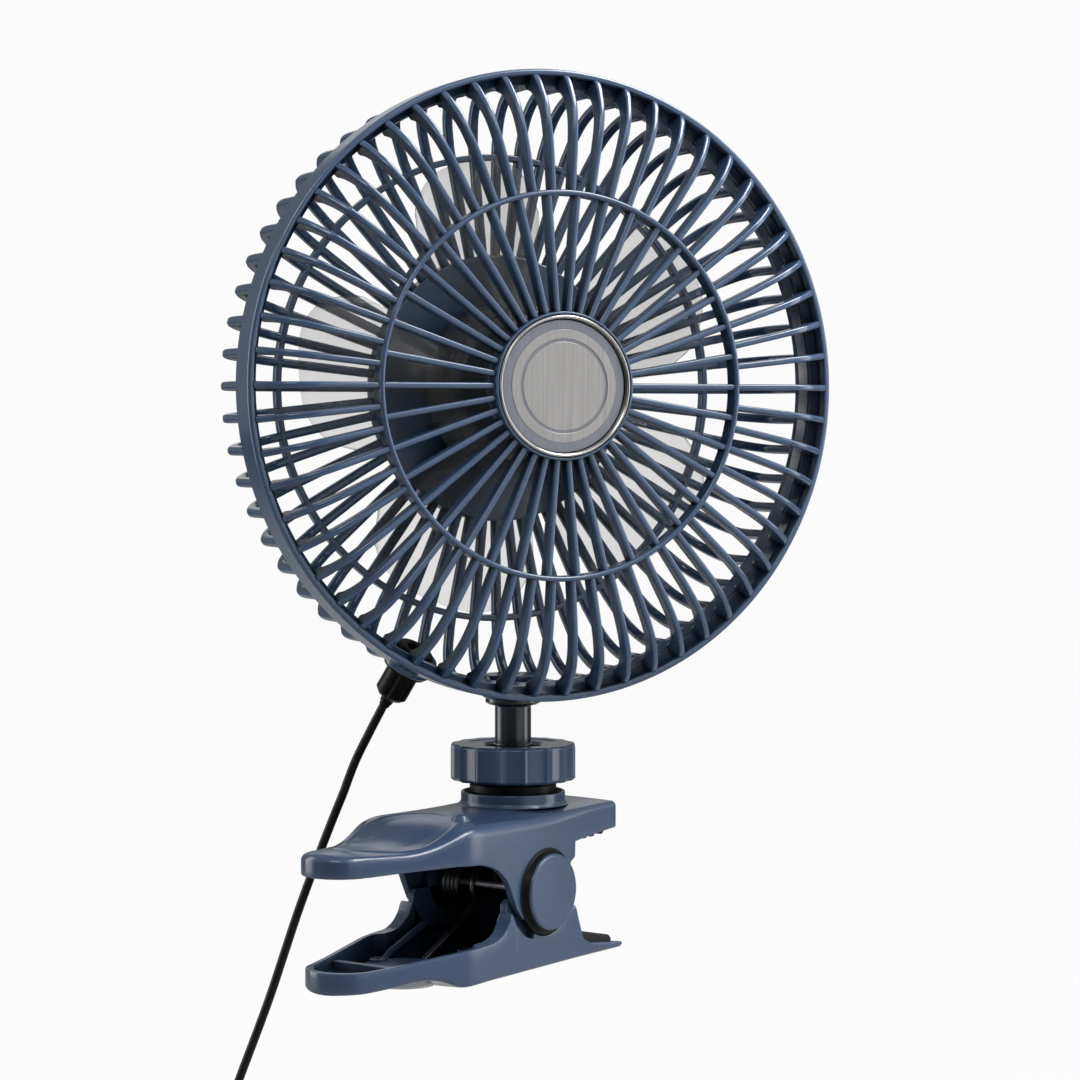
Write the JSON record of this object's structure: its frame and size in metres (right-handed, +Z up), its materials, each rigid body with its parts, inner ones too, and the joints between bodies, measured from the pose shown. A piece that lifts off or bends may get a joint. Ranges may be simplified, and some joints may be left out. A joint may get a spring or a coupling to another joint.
{
  "type": "clip-on camping fan",
  "caption": "Portable fan with a round ribbed guard on a lockable ball-joint stem, held by a sprung two-lever clamp, with a clear impeller and a power lead.",
  "frame": {"origin": "middle of the round bar that the clamp grips, halfway across the clamp", "axes": "+Z up along the stem, +X out of the clamp's mouth, Y along the clamp's pivot pin; the fan blows towards -Y turned 30 degrees to -X"},
  "size_m": [0.1977, 0.1898, 0.446],
  "materials": {
    "navy_plastic": "satin moulded",
    "black_plastic": "satin",
    "grey_plastic": "satin",
    "smoke_clear": "clear, smoky",
    "brushed": "brushed",
    "chrome": "polished",
    "steel": "plain",
    "board_green": "lacquered",
    "pad_rubber": "soft",
    "foot_rubber": "soft",
    "cord_black": "smooth"
  },
  "bodies": {
    "clamp": {"upper_jaw": "navy_plastic", "upper_pad": "pad_rubber", "pivot_pin": "steel", "pivot_caps": "navy_plastic", "torsion_spring": "steel", "socket_collet": "black_plastic", "collar": "navy_plastic"},
    "lever": {"lower_jaw": "navy_plastic", "lower_pad": "pad_rubber", "base_pad": "foot_rubber", "spring_leg": "steel"},
    "knob": {"lock_knob": "navy_plastic"},
    "seat": {"ball_seat": "grey_plastic"},
    "head": {"front_guard": "navy_plastic", "badge_bezel": "chrome", "badge_disc": "brushed", "rear_guard": "navy_plastic", "dc_socket": "black_plastic", "cord_plug": "black_plastic", "rear_cover": "navy_plastic", "cover_screws": "steel", "circuit_board": "board_green", "motor_housing": "navy_plastic", "motor_can": "steel", "ball_stem": "black_plastic", "cord": "cord_black", "cord_coil": "cord_black", "cord_tie": "black_plastic", "cord_tail": "cord_black", "usb_plug": "black_plastic", "usb_shell": "steel"},
    "rotor": {"motor_shaft": "steel", "impeller": "smoke_clear", "impeller_cap": "grey_plastic"},
    "button": {"power_button": "grey_plastic"}
  },
  "joints": [
    {"name": "clamp_open", "type": "hinge", "parent": "clamp", "child": "lever", "pos_m": [-0.0362, 0, 0.0028], "axis": [0, 1, 0], "range_deg": [-42, 14]},
    {"name": "knob_turn", "type": "hinge", "parent": "clamp", "child": "knob", "pos_m": [-0.0235, 0, 0.043], "axis": [0, 0, 1], "range_deg": [0, 90]},
    {"name": "head_swivel", "type": "hinge", "parent": "clamp", "child": "seat", "pos_m": [-0.0235, 0, 0.033], "axis": [0, 0, 1], "range_deg": [-265, 3]},
    {"name": "head_tilt", "type": "hinge", "parent": "seat", "child": "head", "pos_m": [-0.0235, 0, 0.033], "axis": [0.866, -0.5, 0], "range_deg": [-10, 10]},
    {"name": "impeller_spin", "type": "hinge", "parent": "head", "child": "rotor", "pos_m": [-0.0235, 0, 0.172], "axis": [-0.5, -0.866, 0], "continuous": true},
    {"name": "power_press", "type": "slide", "parent": "head", "child": "button", "axis": [-0.5, -0.866, 0], "range_m": [0, 0.001], "stiffness_N_per_m": 400, "springref_m": -0.0005}
  ]
}
